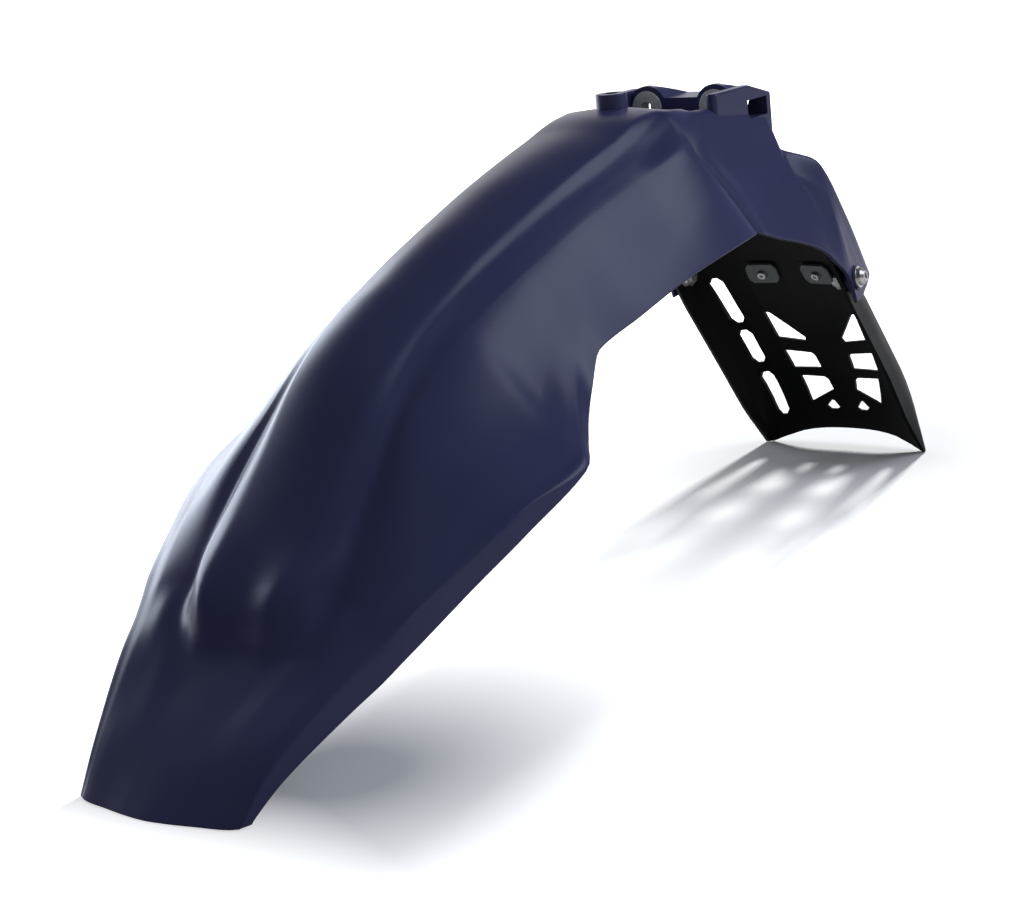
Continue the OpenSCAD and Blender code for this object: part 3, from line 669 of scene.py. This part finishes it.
def make_shell():
    """The moulding: a thin sheet with rounded rims and an eased chin, cut at the ground, with
    the block, the walls, the boss and the seats joined to it and its holes cut out."""
    outer = shell_surface(ROW_STEP, COLUMNS)
    soft = eased(outer, CHIN_ROWS, CHIN_COLS)
    near_nose = np.clip((CHIN_END - outer[..., 1:2]) / CHIN_FADE, 0, 1)
    near_rim = np.clip((np.abs(outer[..., 0:1]) - CHIN_HALF) / CHIN_FADE, 0, 1)
    outer = outer + (soft - outer) * near_nose * (1 - near_rim)
    inner = outer - normals(outer) * WALL
    points, faces = skin(outer, inner, RIM_ROUND)
    points[:, 2] = np.maximum(points[:, 2], 0.0)
    piece = new_object("shell_skin", points, faces)
    combine(piece, shell_additions(), "UNION")
    combine(piece, shell_holes(), "DIFFERENCE")
    soft_shade(piece, 38.0)
    paint(piece, NAVY)
    return piece


def dressed(name, material, width):
    """A copy of the node's mesh with merged points, rounded edges and its own finish."""
    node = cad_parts[name]
    mesh = node.data.copy()
    mesh.name = name + "_skin"
    piece = bpy.data.objects.new(name + "_skin", mesh)
    bpy.context.scene.collection.objects.link(piece)
    bm = bmesh.new()
    bm.from_mesh(mesh)
    bm.transform(node.matrix_world)
    bmesh.ops.remove_doubles(bm, verts=bm.verts[:], dist=MERGE * MM)
    bmesh.ops.dissolve_limit(bm, angle_limit=FLAT, verts=bm.verts[:], edges=bm.edges[:])
    bm.to_mesh(mesh)
    bm.free()
    round_edges(piece, width, 2, 40.0)
    soft_shade(piece, 50.0)
    paint(piece, material)
    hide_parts(name)
    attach(piece, "root")


def math_of(tree, how, first, second, clamp=False):
    """A value worked out of two others, each of them a socket or a plain number."""
    node = tree.nodes.new("ShaderNodeMath")
    node.operation = how
    node.use_clamp = clamp
    for socket, value in zip(node.inputs, (first, second)):
        if isinstance(value, float):
            socket.default_value = value
        else:
            tree.links.new(value, socket)
    return node.outputs[0]


def span_of(tree, value, low, high, start=0.0, way="LINEAR"):
    """The value mapped from low..high to start..1."""
    node = tree.nodes.new("ShaderNodeMapRange")
    node.interpolation_type = way
    node.inputs["From Min"].default_value = low
    node.inputs["From Max"].default_value = high
    node.inputs["To Min"].default_value = start
    node.inputs["To Max"].default_value = 1.0
    tree.links.new(value, node.inputs["Value"])
    return node.outputs["Result"]


def seen_rays(tree, gloss=1.0):
    """1 for camera and transmission rays, gloss for glossy rays, and 0 for the rays that
    carry diffuse light."""
    path = tree.nodes.new("ShaderNodeLightPath").outputs
    shiny = math_of(tree, "MULTIPLY", path["Is Glossy Ray"], gloss)
    seen = math_of(tree, "ADD", path["Is Camera Ray"], shiny, True)
    return math_of(tree, "ADD", seen, path["Is Transmission Ray"], True)


def painted_shadow_glow(tree):
    """Glow of the floor, a painted shadow: low close to the two feet of the object, where the
    cast shadow is to stay dark, and full some way off and before the nose, where the shadow is
    painted out into white."""
    place = tree.nodes.new("ShaderNodeTexCoord").outputs["Object"]
    spreads = []
    for foot, reach in SHADOW_FEET:
        distance = tree.nodes.new("ShaderNodeVectorMath")
        distance.operation = "DISTANCE"
        distance.inputs[1].default_value = foot
        tree.links.new(place, distance.inputs[0])
        spreads.append(span_of(tree, distance.outputs["Value"], reach * SHADOW_DARK_TO, reach))
    axes = tree.nodes.new("ShaderNodeSeparateXYZ")
    tree.links.new(place, axes.inputs[0])
    front = span_of(tree, axes.outputs["Y"], *SHADOW_FRONT)
    level = math_of(tree, "MAXIMUM", math_of(tree, "MINIMUM", *spreads), front)
    return span_of(tree, level, 0.0, 1.0, FLOOR_GLOW)


def floor_finish():
    """A pale diffuse surface with a nap that leans towards the low lamp at the back, plus a
    glow for the rays that see the floor, so that it shows as white but keeps the shadow. The
    glow is painted lower near the feet, which paints the shadow's dark core and its fade.
    From below it is clear, so that the underside of the object shows."""
    material = bpy.data.materials.new("white floor")
    material.use_nodes = True
    tree = material.node_tree
    tree.nodes.clear()
    seen = seen_rays(tree, FLOOR_GLOSS)
    tone = tree.nodes.new("ShaderNodeMix")
    tone.data_type = "RGBA"
    tone.inputs["A"].default_value = FLOOR_TONE
    tone.inputs["B"].default_value = FLOOR_WHITE
    tree.links.new(seen, tone.inputs["Factor"])
    nap = tree.nodes.new("ShaderNodeCombineXYZ")
    for axis, share in zip("XYZ", Vector(FLOOR_NAP).normalized()):
        nap.inputs[axis].default_value = share
    diffuse = tree.nodes.new("ShaderNodeBsdfDiffuse")
    tree.links.new(tone.outputs["Result"], diffuse.inputs["Color"])
    tree.links.new(nap.outputs[0], diffuse.inputs["Normal"])
    glow = tree.nodes.new("ShaderNodeEmission")
    glow.inputs["Color"].default_value = (1, 1, 1, 1)
    # the glow's strength carries the painted shadow around the feet
    tree.links.new(math_of(tree, "MULTIPLY", seen, painted_shadow_glow(tree)), glow.inputs["Strength"])
    above = tree.nodes.new("ShaderNodeAddShader")
    tree.links.new(diffuse.outputs[0], above.inputs[0])
    tree.links.new(glow.outputs[0], above.inputs[1])
    side = tree.nodes.new("ShaderNodeNewGeometry")
    clear = tree.nodes.new("ShaderNodeBsdfTransparent")
    both = tree.nodes.new("ShaderNodeMixShader")
    tree.links.new(side.outputs["Backfacing"], both.inputs[0])
    tree.links.new(above.outputs[0], both.inputs[1])
    tree.links.new(clear.outputs[0], both.inputs[2])
    out = tree.nodes.new("ShaderNodeOutputMaterial")
    tree.links.new(both.outputs[0], out.inputs["Surface"])
    return material


def make_floor():
    """A wide white floor just under the object."""
    mesh = bpy.data.meshes.new("floor")
    s = FLOOR_HALF
    mesh.from_pydata([(-s, -s, 0), (s, -s, 0), (s, s, 0), (-s, s, 0)], [], [(0, 1, 2, 3)])
    mesh.materials.append(floor_finish())
    floor = bpy.data.objects.new("floor", mesh)
    floor.location = (0, 0, -FLOOR_DROP)
    bpy.context.scene.collection.objects.link(floor)


def make_world():
    """A dim soft sky for light. Camera rays see white, and glossy and transmission rays see
    the white backdrop behind the object and a dark studio on the camera's side."""
    world = bpy.data.worlds.new("studio")
    bpy.context.scene.world = world
    world.use_nodes = True
    tree = world.node_tree
    tree.nodes.clear()
    sky = tree.nodes.new("ShaderNodeBackground")
    sky.inputs["Color"].default_value = SKY_COLOR
    sky.inputs["Strength"].default_value = SKY_LEVEL
    coords = tree.nodes.new("ShaderNodeTexCoord")
    dot = tree.nodes.new("ShaderNodeVectorMath")
    dot.operation = "DOT_PRODUCT"
    dot.inputs[1].default_value = (-math.sin(CAMERA_TURN), math.cos(CAMERA_TURN), 0)
    tree.links.new(coords.outputs["Generated"], dot.inputs[0])
    backdrop = span_of(tree, dot.outputs["Value"], BACKDROP_FROM, BACKDROP_FULL, STUDIO_DARK,
                       "SMOOTHSTEP")
    path = tree.nodes.new("ShaderNodeLightPath")
    level = math_of(tree, "MAXIMUM", backdrop, path.outputs["Is Camera Ray"])
    white = tree.nodes.new("ShaderNodeBackground")
    white.inputs["Color"].default_value = (1, 1, 1, 1)
    tree.links.new(level, white.inputs["Strength"])
    mix = tree.nodes.new("ShaderNodeMixShader")
    tree.links.new(seen_rays(tree), mix.inputs[0])
    tree.links.new(sky.outputs[0], mix.inputs[1])
    tree.links.new(white.outputs[0], mix.inputs[2])
    out = tree.nodes.new("ShaderNodeOutputWorld")
    tree.links.new(mix.outputs[0], out.inputs["Surface"])


def area_light(name, toward, distance, size, power, color, glossy):
    """A rectangular lamp in the direction toward from LAMP_AIM that looks back at it."""
    aim = Vector(LAMP_AIM)
    data = bpy.data.lights.new(name, "AREA")
    data.energy = power
    data.color = color
    data.shape = "RECTANGLE"
    data.size, data.size_y = size
    lamp = bpy.data.objects.new(name, data)
    lamp.location = aim + Vector(toward).normalized() * distance
    lamp.rotation_mode = "QUATERNION"
    lamp.rotation_quaternion = (aim - lamp.location).to_track_quat("-Z", "Y")
    lamp.visible_glossy = glossy
    bpy.context.scene.collection.objects.link(lamp)


def make_camera():
    """The photograph's camera: turned, dipped and rolled about the point it looks at."""
    a, e, r = CAMERA_TURN, CAMERA_DIP, CAMERA_ROLL
    ahead = np.array([-math.sin(a) * math.cos(e), math.cos(a) * math.cos(e), -math.sin(e)])
    right = np.array([math.cos(a), math.sin(a), 0.0])
    up = np.cross(right, ahead)
    right, up = (math.cos(r) * right - math.sin(r) * up, math.sin(r) * right + math.cos(r) * up)
    place = CAMERA_TARGET - ahead * CAMERA_DISTANCE
    data = bpy.data.cameras.new("camera")
    data.lens = CAMERA_LENS
    data.sensor_width = SENSOR_WIDTH
    data.clip_start, data.clip_end = CLIP_NEAR, CLIP_FAR
    camera = bpy.data.objects.new("camera", data)
    axes = Matrix([[right[i], up[i], -ahead[i], place[i]] for i in range(3)] + [[0, 0, 0, 1]])
    camera.matrix_world = axes
    bpy.context.scene.collection.objects.link(camera)
    bpy.context.scene.camera = camera


shell = make_shell()
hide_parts("fender_shell")
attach(shell, "root")

# each with its material and the width of its rounded edges in millimetres
dressed("vent_flap", BLACK, 0.4)
for side in ("left", "right"):
    dressed("plate_" + side, ZINC, 0.4)
    dressed("plate_screw_" + side, STEEL, 0.15)
    dressed("side_screw_" + side, STEEL, 0.25)
    dressed("side_washer_" + side, STEEL, 0.2)
    dressed("side_nut_" + side, STEEL, 0.2)
    dressed("mount_sleeve_" + side, RING, 0.2)
    dressed("mount_washer_" + side, RING, 0.3)

make_floor()
make_world()
for lamp in LAMPS:
    area_light(*lamp)
make_camera()
bpy.context.scene.view_settings.view_transform = "Standard"
